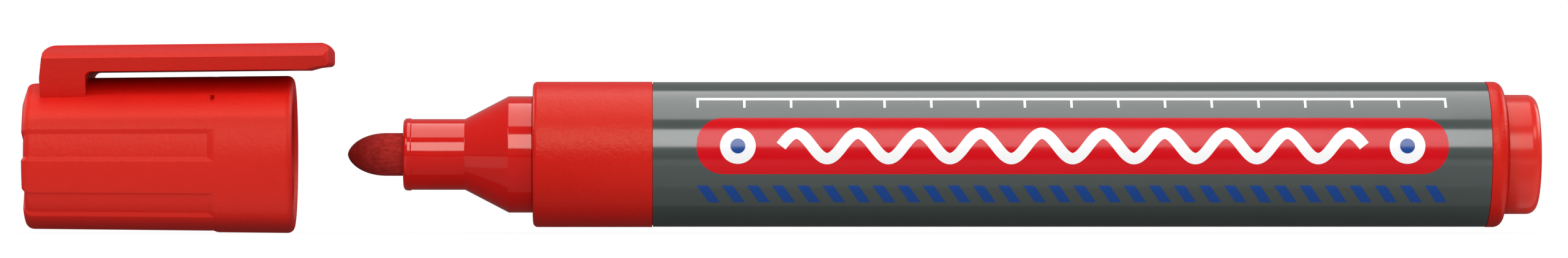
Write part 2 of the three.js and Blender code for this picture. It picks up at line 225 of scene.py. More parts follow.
class Turned:
    """A turned mesh, drawn ring by ring along the marker's axis from a circle."""

    def __init__(self, name: str, segments: int, rings: Sequence[Point]) -> None:
        """Draws the form and leaves it in edit mode.

        A form whose last ring has no radius ends there in a pole, and its first ring is filled. Any other
        form comes back to its first ring.

        Args:
            name: The name of the piece.
            segments: Number of vertices round each ring.
            rings: Pairs of station and radius.
        """
        self.station, self.radius = rings[0]
        start_clean()
        bpy.ops.mesh.primitive_circle_add(
            vertices=segments, radius=self.radius * MM, fill_type="NOTHING",
            location=(x_at(self.station), 0.0, 0.0), rotation=ALONG_X)
        self.piece = settle(name)
        edit_all()
        for ring in rings[1:]:
            self.carry(*ring)
        if self.radius > 0.0:
            self.carry(*rings[0])
        else:
            select(self.piece, Pick.VERTS, self.on_ring(*rings[0]))
            bpy.ops.mesh.edge_face_add()
            bpy.ops.mesh.poke()

    def carry(self, station: float, radius: float) -> None:
        """Extrudes the last ring to a new station and sizes it to a new radius.

        Args:
            station: Station of the new ring.
            radius: Radius of the new ring, or 0 to close the form in a pole.
        """
        extrude((x_at(station) - x_at(self.station), 0.0, 0.0))
        if radius <= 0.0:
            bpy.ops.mesh.merge(type="CENTER")
        elif not math.isclose(radius, self.radius):
            grow = radius / self.radius
            bpy.ops.transform.resize(
                value=(1.0, grow, grow), center_override=(x_at(station), 0.0, 0.0))
        self.station = station
        self.radius = radius

    def on_ring(self, station: float, radius: float) -> Callable[[Vector], bool]:
        """Makes the test that finds the vertices of one ring.

        Args:
            station: Station of the ring.
            radius: Radius of the ring.

        Returns:
            A test of a vertex's place.
        """
        def test(place: Vector) -> bool:
            """Whether a place lies on the ring."""
            off_station = abs(place.x - x_at(station))
            off_radius = abs(math.hypot(place.y, place.z) - radius * MM)
            return off_station < NEAR and off_radius < NEAR
        return test

    def round_over(self, station: float, radius: float, size: float, steps: Steps) -> None:
        """Rounds the corner that runs along one ring.

        Args:
            station: Station of the ring.
            radius: Radius of the ring.
            size: Radius of the rounding.
            steps: Number of steps in the rounding.
        """
        select(self.piece, Pick.EDGES, self.on_ring(station, radius))
        bpy.ops.mesh.bevel(offset=size * MM, offset_type="OFFSET", segments=steps.value,
                           affect="EDGES", clamp_overlap=True)

    def done(self, sharp_over: float = SHARP_OVER) -> bpy.types.Object:
        """Leaves edit mode and finishes the mesh.

        Args:
            sharp_over: Angle in degrees above which an edge stays sharp.

        Returns:
            The finished object.
        """
        return smooth(self.piece, sharp_over)


def block(name: str, station: float, height: float, size: Place, turn: float) -> bpy.types.Object:
    """Makes a block above the marker's axis and turns it about the axis.

    Args:
        name: The name of the piece.
        station: Station of its middle.
        height: Height of its middle above the axis before it is turned.
        size: Its length, width and height.
        turn: Angle in radians.

    Returns:
        The block.
    """
    start_clean()
    bpy.ops.mesh.primitive_cube_add(size=MM, location=(x_at(station), 0.0, height * MM))
    bpy.context.object.scale = size
    piece = settle(name)
    edit_all()
    turn_about_axis(turn)
    bpy.ops.object.mode_set(mode="OBJECT")
    return piece


def prism(name: str, points: Sequence[Vector], along: Sequence[float]) -> bpy.types.Object:
    """Draws a flat outline from one vertex, point by point, and pushes it along a line.

    Args:
        name: The name of the piece.
        points: The corners of the outline in metres.
        along: How far and which way the outline is pushed.

    Returns:
        The solid.
    """
    start_clean()
    bpy.ops.mesh.primitive_plane_add(size=MM, location=points[0])
    piece = settle(name)
    edit_all()
    bpy.ops.mesh.merge(type="CENTER")
    for here, there in zip(points, points[1:]):
        extrude(there - here)
    bpy.ops.mesh.select_all(action="SELECT")
    bpy.ops.mesh.edge_face_add()
    extrude(along)
    bpy.ops.mesh.select_all(action="SELECT")
    bpy.ops.mesh.normals_make_consistent(inside=False)
    bpy.ops.object.mode_set(mode="OBJECT")
    return piece


def arc(size: float, centre: Point, start: float, end: float, steps: int) -> list[Point]:
    """Points of an arc.

    Args:
        size: Radius of the arc.
        centre: Its centre.
        start: Angle of its first point in degrees.
        end: Angle of its last point in degrees.
        steps: Number of chords.

    Returns:
        The points, both ends included.
    """
    angles = (math.radians(start + (end - start) * i / steps) for i in range(steps + 1))
    return [(centre[0] + size * math.cos(a), centre[1] + size * math.sin(a)) for a in angles]


def circle(size: float, centre: Point, steps: int) -> list[Point]:
    """Points of a whole circle, each once.

    Args:
        size: Radius of the circle.
        centre: Its centre.
        steps: Number of points.

    Returns:
        The points.
    """
    return arc(size, centre, 0, 360, steps)[:-1]


class NodeSheet:
    """Adds and links the nodes of one material, world or group."""

    def __init__(self, tree: bpy.types.NodeTree) -> None:
        """Starts on an empty tree.

        Args:
            tree: The node tree to fill.
        """
        self.tree = tree
        tree.nodes.clear()

    def add(self, kind: str, feeds: Optional[dict[Union[str, int], Feed]] = None,
            **settings: object) -> bpy.types.Node:
        """Adds a node, sets its properties and feeds its inputs.

        Args:
            kind: Blender's name of the node type.
            feeds: For an input's name or number, the output that is linked to it or its value.
            settings: Properties set on the node.

        Returns:
            The node.
        """
        node = self.tree.nodes.new(kind)
        for name, value in settings.items():
            setattr(node, name, value)
        for name, value in (feeds or {}).items():
            if isinstance(value, bpy.types.NodeSocket):
                self.tree.links.new(value, node.inputs[name])
            else:
                node.inputs[name].default_value = value
        return node

    def maths(self, operation: str, first: Feed, second: Feed) -> bpy.types.NodeSocket:
        """Works out a number from two numbers.

        Args:
            operation: Blender's name of what is done.
            first: A number or an output.
            second: A number or an output.

        Returns:
            The result.
        """
        return self.add("ShaderNodeMath", {0: first, 1: second}, operation=operation).outputs[0]

    def weigh(self, first: Feed, second: Feed, share: float) -> bpy.types.NodeSocket:
        """Adds two outputs together, the first by a share and the second by the rest."""
        return self.maths("ADD", self.maths("MULTIPLY", first, share),
                          self.maths("MULTIPLY", second, 1.0 - share))

    def spread(self, value: bpy.types.NodeSocket, low: Feed, high: Feed,
               start: float = 0.0, end: float = 1.0) -> bpy.types.NodeSocket:
        """Maps a value from one range to another.

        Args:
            value: The output to map.
            low: What the start of the range becomes, a number or an output.
            high: What the end of the range becomes, a number or an output.
            start: Start of the range that is read.
            end: End of the range that is read.

        Returns:
            The mapped value.
        """
        feeds = {"Value": value, "From Min": start, "From Max": end, "To Min": low, "To Max": high}
        return self.add("ShaderNodeMapRange", feeds).outputs["Result"]

    def tint(self, share: bpy.types.NodeSocket, first: Colour, second: Colour) -> bpy.types.NodeSocket:
        """Blends two colours by a share that changes over the surface.

        Args:
            share: Output that says how much of the second colour shows.
            first: Colour where the share is 0.
            second: Colour where the share is 1.

        Returns:
            The blended colour.
        """
        feeds = {"Factor": share, "A": (*first, 1.0), "B": (*second, 1.0)}
        return self.add("ShaderNodeMix", feeds, data_type="RGBA").outputs["Result"]

    def noise(self, vector: bpy.types.NodeSocket, scale: Feed, detail: float,
              roughness: float = 0.5) -> bpy.types.NodeSocket:
        """Adds a noise.

        Args:
            vector: The coordinates.
            scale: A number or an output.
            detail: Number of octaves.
            roughness: How strong the finer octaves are.

        Returns:
            The noise, about 0 to 1.
        """
        feeds = {"Vector": vector, "Scale": scale, "Detail": detail, "Roughness": roughness}
        return self.add("ShaderNodeTexNoise", feeds).outputs["Fac"]

    def bump(self, height: bpy.types.NodeSocket, depth: float) -> bpy.types.NodeSocket:
        """Bends the normal by a height.

        Args:
            height: The height, 0 to 1.
            depth: Size of the height in millimetres.

        Returns:
            The bent normal.
        """
        return self.add("ShaderNodeBump", {"Distance": depth * MM, "Height": height}).outputs["Normal"]


class Effect(Enum):
    """Surface effects that several finishes share, each a node group."""

    GRAIN = "moulded_grain"
    HANDLING = "handling_marks"
    FIBRE = "bonded_fibre"


class EffectLibrary:
    """Builds each shared effect once and places it in materials."""

    def __init__(self) -> None:
        """Builds all effects."""
        self.groups: dict[Effect, bpy.types.NodeTree] = {}
        self.build_grain()
        self.build_handling()
        self.build_fibre()

    def start(self, effect: Effect, inputs: dict[str, float], outputs: Sequence[str]
              ) -> tuple[NodeSheet, bpy.types.bpy_prop_collection]:
        """Starts a group with a vector input, number inputs and number outputs.

        Args:
            effect: The effect that the group is for.
            inputs: Names and default values of the number inputs.
            outputs: Names of the outputs.

        Returns:
            The group's sheet and what the group is given.
        """
        group = bpy.data.node_groups.new(effect.value, "ShaderNodeTree")
        group.interface.new_socket("Vector", in_out="INPUT", socket_type="NodeSocketVector")
        for name, value in inputs.items():
            socket = group.interface.new_socket(name, in_out="INPUT", socket_type="NodeSocketFloat")
            socket.default_value = value
        for name in outputs:
            group.interface.new_socket(name, in_out="OUTPUT", socket_type="NodeSocketFloat")
        self.groups[effect] = group
        sheet = NodeSheet(group)
        return sheet, sheet.add("NodeGroupInput").outputs

    def build_grain(self) -> None:
        """Spark-eroded grain of a moulded surface: its height and a slow mottling."""
        cell_share = 0.62
        pit_reach = 0.9
        fine_share = 0.65
        sheet, given = self.start(
            Effect.GRAIN, {"Scale": 6000.0, "Mottle Scale": 900.0}, ("Height", "Mottle"))
        fine = sheet.noise(given["Vector"], given["Scale"], detail=3.0, roughness=0.55)
        cell_scale = sheet.maths("MULTIPLY", given["Scale"], cell_share)
        cells = sheet.add("ShaderNodeTexVoronoi", {"Vector": given["Vector"], "Scale": cell_scale},
                          feature="SMOOTH_F1")
        pits = sheet.spread(cells.outputs["Distance"], 0.0, 1.0, 0.0, pit_reach)
        sheet.add("NodeGroupOutput", {
            "Height": sheet.weigh(fine, pits, fine_share),
            "Mottle": sheet.noise(given["Vector"], given["Mottle Scale"], detail=2.0),
        })

    def build_handling(self) -> None:
        """Faint waviness and smudges of a smooth surface: its roughness and a slow height."""
        smudge_range = (0.35, 0.75)
        wave_share = 1.7
        sheet, given = self.start(
            Effect.HANDLING, {"Scale": 220.0, "Clean": 0.08, "Smudged": 0.14}, ("Roughness", "Height"))
        patches = sheet.noise(given["Vector"], given["Scale"], detail=4.0, roughness=0.6)
        wave_scale = sheet.maths("MULTIPLY", given["Scale"], wave_share)
        sheet.add("NodeGroupOutput", {
            "Roughness": sheet.spread(patches, given["Clean"], given["Smudged"], *smudge_range),
            "Height": sheet.noise(given["Vector"], wave_scale, detail=1.0),
        })

    def build_fibre(self) -> None:
        """Fibres along the marker, bonded in loose bundles: their height and a blotchy soaking."""
        blot_share = 0.3
        strand_share = 0.45
        soaking_range = (0.36, 0.64)
        sheet, given = self.start(
            Effect.FIBRE, {"Scale": 4500.0, "Stretch": 0.16}, ("Height", "Soaking"))
        parts = sheet.add("ShaderNodeSeparateXYZ", {0: given["Vector"]}).outputs
        drawn_out = sheet.maths("MULTIPLY", parts["X"], given["Stretch"])
        along = sheet.add("ShaderNodeCombineXYZ", {"X": drawn_out, "Y": parts["Y"], "Z": parts["Z"]})
        strands = sheet.noise(along.outputs[0], given["Scale"], detail=4.0, roughness=0.65)
        blot_scale = sheet.maths("MULTIPLY", given["Scale"], blot_share)
        blots = sheet.noise(given["Vector"], blot_scale, detail=5.0, roughness=0.65)
        soaking = sheet.weigh(strands, blots, strand_share)
        sheet.add("NodeGroupOutput", {
            "Height": strands,
            "Soaking": sheet.spread(soaking, 0.0, 1.0, *soaking_range),
        })

    def place(self, sheet: NodeSheet, effect: Effect, feeds: dict[str, Feed]
              ) -> bpy.types.bpy_prop_collection:
        """Puts an effect into a material.

        Args:
            sheet: The material's sheet.
            effect: Which effect.
            feeds: The coordinates and the numbers for the group's inputs.

        Returns:
            The effect's outputs.
        """
        return sheet.add("ShaderNodeGroup", feeds, node_tree=self.groups[effect]).outputs


@dataclass(frozen=True)
class Finish:
    """What every finish has: a name and a way to make its material."""

    name: str

    def material(self, effects: EffectLibrary) -> bpy.types.Material:
        """Builds the material.

        Args:
            effects: The shared effects.

        Returns:
            The material.
        """
        material = bpy.data.materials.new(self.name)
        material.use_nodes = True
        sheet = NodeSheet(material.node_tree)
        place = sheet.add("ShaderNodeTexCoord").outputs["Object"]
        shader = sheet.add("ShaderNodeBsdfPrincipled", self.look(sheet, effects, place))
        sheet.add("ShaderNodeOutputMaterial", {"Surface": shader.outputs["BSDF"]})
        return material

    def look(self, sheet: NodeSheet, effects: EffectLibrary, place: bpy.types.NodeSocket
             ) -> dict[str, Feed]:
        """Works out what goes into the shader. Each kind of finish has its own.

        Args:
            sheet: The material's sheet.
            effects: The shared effects.
            place: Where on the piece a point of its surface lies.

        Returns:
            A value or an output for each input of the shader that the finish sets.
        """
        raise NotImplementedError


@dataclass(frozen=True)
class GrainedPlastic(Finish):
    """Matte moulded plastic with a fine grain that hides its gloss at grazing angles."""

    colour: Colour
    worn_colour: Colour
    roughness: float
    specular: float
    grain_scale: float
    grain_depth: float
    roughness_swing: float = 0.05
    mottle_scale: float = 800.0
    gloss_tint: Colour = NO_TINT
    grazing: Point = (0.80, 0.92)
    grazing_share: float = 0.12

    def look(self, sheet: NodeSheet, effects: EffectLibrary, place: bpy.types.NodeSocket
             ) -> dict[str, Feed]:
        """Grain, mottled colour, and less gloss where the surface is seen edge on."""
        grain = effects.place(sheet, Effect.GRAIN, {
            "Vector": place, "Scale": self.grain_scale, "Mottle Scale": self.mottle_scale})
        facing = sheet.add("ShaderNodeLayerWeight").outputs["Facing"]
        return {
            "Base Color": sheet.tint(grain["Mottle"], self.colour, self.worn_colour),
            "Roughness": sheet.spread(grain["Height"], self.roughness - self.roughness_swing,
                                      self.roughness + self.roughness_swing, *NOISE_MIDDLE),
            "Specular IOR Level": sheet.spread(facing, self.specular,
                                               self.specular * self.grazing_share, *self.grazing),
            "Specular Tint": (*self.gloss_tint, 1.0),
            "Normal": sheet.bump(grain["Height"], self.grain_depth),
        }


@dataclass(frozen=True)
class PolishedPlastic(Finish):
    """Glossy moulded plastic or printed film, a little wavy and smudged."""

    colour: Colour
    second_colour: Colour
    clean: float
    smudged: float
    specular: float
    wave_depth: float
    smudge_scale: float = 220.0
    gloss_tint: Colour = NO_TINT
    glow: float = 0.0
    glow_depth: float = 0.0
    glow_reach: ClassVar[Colour] = (1.0, 0.2, 0.1)

    def look(self, sheet: NodeSheet, effects: EffectLibrary, place: bpy.types.NodeSocket
             ) -> dict[str, Feed]:
        """Gloss that changes with the smudges, and light let in where the plastic glows."""
        marks = effects.place(sheet, Effect.HANDLING, {
            "Vector": place, "Scale": self.smudge_scale, "Clean": self.clean, "Smudged": self.smudged})
        return {
            "Base Color": sheet.tint(marks["Height"], self.colour, self.second_colour),
            "Roughness": marks["Roughness"],
            "Specular IOR Level": self.specular,
            "Specular Tint": (*self.gloss_tint, 1.0),
            "Subsurface Weight": self.glow,
            "Subsurface Radius": self.glow_reach,
            "Subsurface Scale": self.glow_depth * MM,
            "Normal": sheet.bump(marks["Height"], self.wave_depth),
        }


@dataclass(frozen=True)
class SoakedFibre(Finish):
    """Bonded fibre soaked with ink, more at its front end than at its rear end.

    A share is the range of soaking, from the driest to the wettest fibres, at one end.
    """

    soaked: Colour
    dry: Colour
    scale: float
    depth: float
    sheen: float
    specular: float
    rear: float
    front: float
    rear_share: Point
    front_share: Point
    stretch: float = 0.16
    roughness: Point = (0.62, 0.9)

    def look(self, sheet: NodeSheet, effects: EffectLibrary, place: bpy.types.NodeSocket
             ) -> dict[str, Feed]:
        """Matte fibres with a soft sheen, darker where they hold more ink."""
        fibre = effects.place(sheet, Effect.FIBRE, {
            "Vector": place, "Scale": self.scale, "Stretch": self.stretch})
        along = sheet.add("ShaderNodeSeparateXYZ", {0: place}).outputs["X"]
        ends = (x_at(self.rear), x_at(self.front))
        least, most = (sheet.spread(along, at_rear, at_front, *ends)
                       for at_rear, at_front in zip(self.rear_share, self.front_share))
        return {
            "Base Color": sheet.tint(sheet.spread(fibre["Soaking"], least, most), self.dry, self.soaked),
            "Roughness": sheet.spread(fibre["Height"], *self.roughness, *NOISE_MIDDLE),
            "Sheen Weight": self.sheen,
            "Specular IOR Level": self.specular,
            "Normal": sheet.bump(fibre["Height"], self.depth),
        }


RED_GRAINED = GrainedPlastic(
    "red_grained_plastic", colour=(0.575, 0.004, 0.002), worn_colour=(0.615, 0.006, 0.003),
    roughness=0.36, specular=0.26, grain_scale=3600.0, grain_depth=0.05, gloss_tint=(1.0, 0.95, 0.68))
RED_CAP = replace(RED_GRAINED, name="red_cap_plastic", roughness=0.50, specular=0.32)
LINER_WHITE = GrainedPlastic(
    "natural_liner_plastic", colour=(0.76, 0.75, 0.70), worn_colour=(0.82, 0.81, 0.76),
    roughness=0.38, specular=0.5, grain_scale=3200.0, grain_depth=0.004)
RED_POLISHED = PolishedPlastic(
    "red_polished_plastic", colour=(0.58, 0.004, 0.002), second_colour=(0.61, 0.005, 0.003),
    clean=0.05, smudged=0.12, specular=0.5, wave_depth=0.002, gloss_tint=(1.0, 0.94, 0.84))
RED_PLUG = PolishedPlastic(
    "red_plug_plastic", colour=(0.62, 0.018, 0.010), second_colour=(0.65, 0.022, 0.013),
    clean=0.20, smudged=0.28, specular=0.40, wave_depth=0.004, gloss_tint=(1.0, 0.92, 0.8),
    glow=0.8, glow_depth=3.0)
SLEEVE_FILM = PolishedPlastic(
    "pale_sleeve_film", colour=(0.78, 0.78, 0.75), second_colour=(0.84, 0.84, 0.81),
    clean=0.12, smudged=0.25, specular=0.5, wave_depth=0.01)
GREY_FILM = PolishedPlastic(
    "grey_label_film", colour=(0.050, 0.0645, 0.0605), second_colour=(0.054, 0.0685, 0.0645),
    clean=0.12, smudged=0.17, specular=0.7, wave_depth=0.001, smudge_scale=90.0)
RED_INK = PolishedPlastic(
    "red_print_ink", colour=(0.59, 0.001, 0.006), second_colour=(0.61, 0.002, 0.008),
    clean=0.14, smudged=0.2, specular=0.25, wave_depth=0.001, smudge_scale=90.0)
WHITE_INK = replace(
    RED_INK, name="white_print_ink", colour=(0.86, 0.86, 0.86), second_colour=(0.9, 0.9, 0.9))
BLUE_INK = replace(
    RED_INK, name="blue_print_ink", colour=(0.001, 0.048, 0.255), second_colour=(0.001, 0.053, 0.275),
    specular=0.45)
NIB_FELT = SoakedFibre(
    "red_nib_felt", soaked=(0.155, 0.004, 0.003), dry=(0.53, 0.032, 0.026), scale=5200.0, depth=0.02,
    sheen=0.01, specular=0.08, rear=122.6, front=126.4, rear_share=(0.1, 0.75), front_share=(0.82, 1.0))
FILLER_FIBRE = SoakedFibre(
    "red_filler_fibre", soaked=(0.30, 0.012, 0.014), dry=(0.62, 0.12, 0.11), scale=3000.0, depth=0.05,
    sheen=0.2, specular=0.2, rear=9.9, front=93.5, rear_share=(0.0, 0.9), front_share=(0.2, 1.0))


class Dresser:
    """Builds each material once and gives pieces their material, body and slot."""

    def __init__(self) -> None:
        """Builds the shared effects."""
        self.effects = EffectLibrary()
        self.made: dict[str, bpy.types.Material] = {}

    def material(self, finish: Finish) -> bpy.types.Material:
        """Builds a finish's material, or fetches it if it has been built.

        Args:
            finish: The finish.

        Returns:
            Its material.
        """
        if finish.name not in self.made:
            self.made[finish.name] = finish.material(self.effects)
        return self.made[finish.name]

    def paint_node(self, node: str, finish: Finish) -> None:
        """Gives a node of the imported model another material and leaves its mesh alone.

        Args:
            node: The node's name.
            finish: Its finish.
        """
        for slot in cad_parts[node].material_slots:
            slot.material = self.material(finish)
        LOG.info("node %s: %s", node, finish.name)

    def hand_over(self, piece: bpy.types.Object, finish: Finish, body: Body,
                  replaced: Optional[str] = None) -> None:
        """Paints a piece and hangs it on its body.

        Args:
            piece: The finished object.
            finish: Its finish.
            body: The body that it moves with.
            replaced: The node that it stands for, if it stands for one.
        """
        piece.data.materials.clear()
        piece.data.materials.append(self.material(finish))
        if replaced:
            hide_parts(replaced)
        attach(piece, body.value)
        LOG.info("piece %s: %d faces, body %s", piece.name, len(piece.data.polygons), body.value)


@dataclass
class Barrel:
    """The tube and its rear plug."""

    rear: float = 3.7
    front: float = 107.7
    radius: float = 7.8
    bore: float = 6.1
    lip_radius: float = 5.7
    lip_length: float = 3.0
    lip_ramp: float = 0.5
    lip_round: float = 0.15
    label_rear: float = 5.5
    label_front: float = 94.9
    label_floor: float = 7.6
    rear_round: float = 1.0
    front_round: float = 0.5
    edge_round: float = 0.04
    plug_radius: float = 6.4
    plug_round: float = 1.1
    plug_foot: float = 3.65
    plug_foot_round: float = 0.2
    plug_spigot: float = 5.95
    plug_spigot_wall: float = 1.1
    plug_inner: float = 9.7
    plug_chamfer: float = 0.5
    plug_face: float = 1.6
    segments: int = 192

    def tube(self) -> bpy.types.Object:
        """Turns the barrel, sunk where the label lies, with the lip inside its front end.

        Returns:
            The barrel.
        """
        form = Turned("barrel_tube", self.segments, [
            (self.rear, self.bore),
            (self.rear, self.radius),
            (self.label_rear, self.radius),
            (self.label_rear, self.label_floor),
            (self.label_front, self.label_floor),
            (self.label_front, self.radius),
            (self.front, self.radius),
            (self.front, self.lip_radius),
            (self.front - self.lip_length, self.lip_radius),
            (self.front - self.lip_length - self.lip_ramp, self.bore),
        ])
        form.round_over(self.rear, self.radius, self.rear_round, Steps.BROAD)
        form.round_over(self.front, self.radius, self.front_round, Steps.CORNER)
        form.round_over(self.label_rear, self.radius, self.edge_round, Steps.HAIRLINE)
        form.round_over(self.label_front, self.radius, self.edge_round, Steps.HAIRLINE)
        form.round_over(self.front, self.lip_radius, self.lip_round, Steps.SMALL)
        return form.done()

    def plug(self) -> bpy.types.Object:
        """Turns the plug: rounded head, foot and hollow spigot.

        Returns:
            The plug.
        """
        inner = self.plug_spigot - self.plug_spigot_wall
        form = Turned("rear_plug", self.segments, [
            (0.0, self.plug_radius),
            (self.plug_foot, self.plug_radius),
            (self.plug_foot, self.plug_spigot),
            (self.plug_inner - self.plug_chamfer, self.plug_spigot),
            (self.plug_inner, self.plug_spigot - self.plug_chamfer),
            (self.plug_inner, inner),
            (self.plug_face, inner),
            (self.plug_face, 0.0),
        ])
        form.round_over(0.0, self.plug_radius, self.plug_round, Steps.HEAD)
        form.round_over(self.plug_foot, self.plug_radius, self.plug_foot_round, Steps.SMALL)
        return form.done()

    def build(self, dresser: Dresser) -> None:
        """Builds and dresses the tube and the plug.

        Args:
            dresser: Paints the pieces and hangs them on their body.
        """
        dresser.hand_over(self.tube(), RED_GRAINED, Body.MARKER, "barrel")
        dresser.hand_over(self.plug(), RED_PLUG, Body.MARKER, "end_plug")


@dataclass
class FrontEnd:
    """The glossy front section and the nib in it, with the reservoir behind them."""

    collar_rear: float = 107.75
    cone_rear: float = 110.3
    cone_front: float = 115.0
    neck_front: float = 121.6
    collar_radius: float = 6.25
    neck_radius: float = 3.8
    lip_height: float = 0.08
    lip_length: float = 0.8
    lip_ramp: float = 0.1
    lip_round: float = 0.05
    mouth_round: float = 0.45
    collar_round: float = 0.06
    cone_fillet: float = 0.04
    spigot_rear: float = 93.7
    spigot_radius: float = 5.55
    spigot_wall: float = 1.1
    spigot_chamfer: float = 0.5
    bead_height: float = 0.35
    bead_length: float = 1.2
    bead_front: float = 104.15
    tube_rear: float = 110.6
    rib_count: int = 4
    rib_width: float = 0.8
    rib_rear: float = 101.6
    rib_front: float = 110.5
    rib_root: float = 5.0
    nib_bore: float = 2.5
    nib_bore_round: float = 0.12
    nib_radius: float = 2.3
    nib_tip: float = 127.6
    nib_arch: float = 4.3
    nib_belly: float = 2.2
    nib_taper: float = 0.6
    nib_rear: float = 84.65
    nib_sharp_over: float = 60.0
    shank_radius: float = 1.8
    shank_front: float = 100.65
    shoulder: float = 0.8
    arch_steps: int = 18
    nib_segments: int = 128
    segments: int = 192

    def section(self) -> bpy.types.Object:
        """Turns the front section with its neck, cone, collar and snap-in spigot, and adds its ribs.

        Returns:
            The front section.
        """
        hollow = self.spigot_radius - self.spigot_wall
        bead = self.spigot_radius + self.bead_height
        bead_rear = self.bead_front - self.bead_length
        lip = self.neck_radius + self.lip_height
        lip_rear = self.neck_front - self.lip_length
        form = Turned("front_cone", self.segments, [
            (self.spigot_rear, hollow),
            (self.spigot_rear, self.spigot_radius - self.spigot_chamfer),
            (self.spigot_rear + self.spigot_chamfer, self.spigot_radius),
            (bead_rear, self.spigot_radius),
            (bead_rear + self.bead_height, bead),
            (self.bead_front - self.bead_height, bead),
            (self.bead_front, self.spigot_radius),
            (self.collar_rear, self.spigot_radius),
            (self.collar_rear, self.collar_radius),
            (self.cone_rear, self.collar_radius),
            (self.cone_front, self.neck_radius),
            (lip_rear - self.lip_ramp, self.neck_radius),
            (lip_rear, lip),
            (self.neck_front, lip),
            (self.neck_front, self.nib_bore),
            (self.tube_rear, self.nib_bore),
            (self.tube_rear - (hollow - self.nib_bore), hollow),
        ])
        form.round_over(self.collar_rear, self.collar_radius, self.collar_round, Steps.SMALL)
        form.round_over(self.cone_rear, self.collar_radius, self.cone_fillet, Steps.HAIRLINE)
        form.round_over(self.cone_front, self.neck_radius, self.cone_fillet, Steps.HAIRLINE)
        form.round_over(lip_rear, lip, self.lip_round, Steps.HAIRLINE)
        form.round_over(self.neck_front, lip, self.mouth_round, Steps.CORNER)
        form.round_over(self.neck_front, self.nib_bore, self.nib_bore_round, Steps.SMALL)
        piece = form.done()
        for i in range(self.rib_count):
            combine(piece, self.rib(math.tau * i / self.rib_count), Cut.JOIN)
        return smooth(piece)

    def rib(self, turn: float) -> bpy.types.Object:
        """One of the ribs inside the front section that hold the nib.

        Args:
            turn: Angle about the axis in radians.

        Returns:
            The rib.
        """
        size = (self.rib_front - self.rib_rear, self.rib_width, self.rib_root - self.nib_bore)
        return block("nib_rib", (self.rib_rear + self.rib_front) / 2,
                     (self.nib_bore + self.rib_root) / 2, size, turn)

    def nib(self) -> bpy.types.Object:
        """Turns the nib: shank, shoulder, rod and bullet tip.

        Returns:
            The nib.
        """
        rings = [
            (self.nib_rear, self.shank_radius - self.shoulder),
            (self.nib_rear + self.shoulder, self.shank_radius),
            (self.shank_front, self.shank_radius),
            (self.shank_front + self.shoulder, self.nib_radius),
        ]
        for i in range(self.arch_steps):
            share = math.sin(math.pi / 2 * i / self.arch_steps)
            rings.append((self.nib_tip - self.nib_arch * (1 - share),
                          self.nib_radius * (1 - share ** self.nib_belly) ** self.nib_taper))
        rings.append((self.nib_tip, 0.0))
        return Turned("felt_nib", self.nib_segments, rings).done(self.nib_sharp_over)

    def build(self, dresser: Dresser) -> None:
        """Builds and dresses the front section and the nib, and paints the reservoir.

        Args:
            dresser: Paints the pieces and hangs them on their body.
        """
        dresser.hand_over(self.section(), RED_POLISHED, Body.MARKER, "front_section")
        dresser.hand_over(self.nib(), NIB_FELT, Body.MARKER, "nib")
        dresser.paint_node("reservoir_core", FILLER_FIBRE)
        dresser.paint_node("reservoir_film", SLEEVE_FILM)


